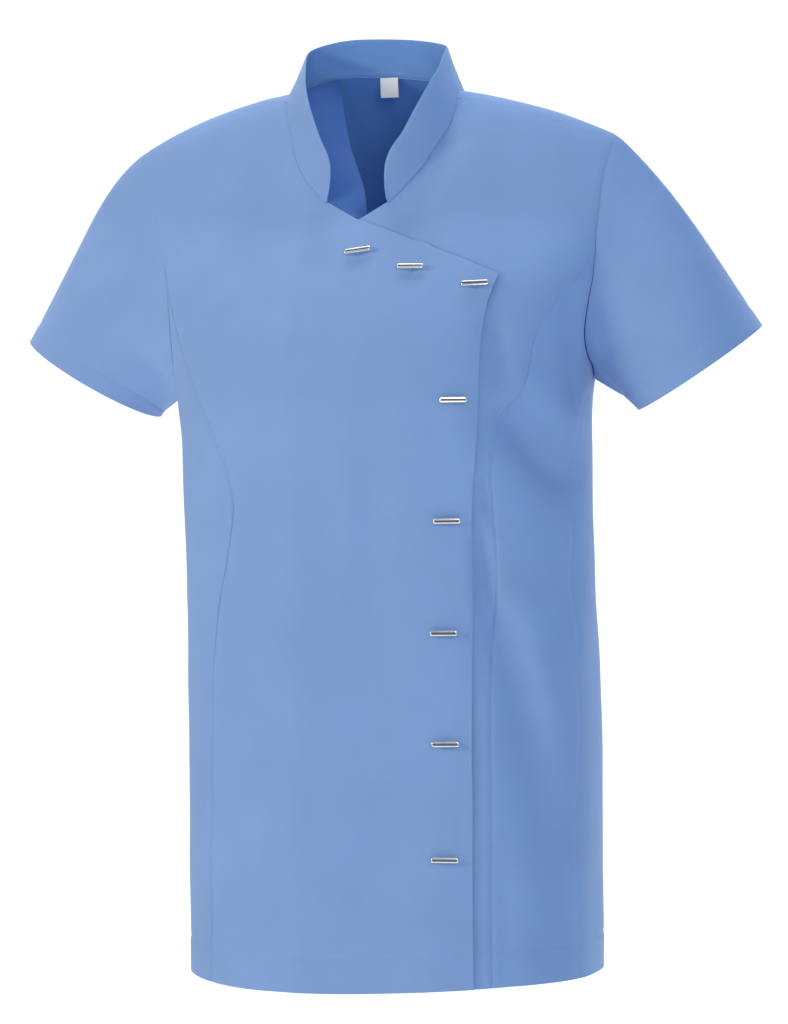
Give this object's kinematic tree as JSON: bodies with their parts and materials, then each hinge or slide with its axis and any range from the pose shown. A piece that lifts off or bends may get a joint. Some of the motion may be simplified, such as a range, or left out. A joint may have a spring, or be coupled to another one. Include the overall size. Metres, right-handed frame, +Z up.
{
  "type": "short-sleeved tunic jacket",
  "caption": "Hollow worn tunic jacket with short sleeves, an open stand collar and a one-sided overlapping front closed by bar buttons.",
  "frame": {"origin": "midway between the two shoulder points at the base of the neck, on the ridge line of the shoulders, where the garment rests on its wearer", "axes": "+Z up, -Y the wearer's front, +X the wearer's left"},
  "size_m": [0.66, 0.264, 0.8129],
  "materials": {
    "cloth": "light blue poly-cotton twill",
    "facing": "same twill, seen in the shade of the neck",
    "label": "plain woven satin, blank",
    "button_metal": "polished metal bar"
  },
  "bodies": {
    "root": {"front_right": "cloth", "front_left": "cloth", "side_front_right": "cloth", "side_front_left": "cloth", "back": "cloth", "sleeve_right": "cloth", "sleeve_left": "cloth", "collar": "cloth", "facing_right": "facing", "size_label": "label", "button_1": "button_metal", "button_2": "button_metal", "button_3": "button_metal", "button_4": "button_metal", "button_5": "button_metal", "button_6": "button_metal", "button_7": "button_metal", "button_8": "button_metal"}
  },
  "joints": []
}
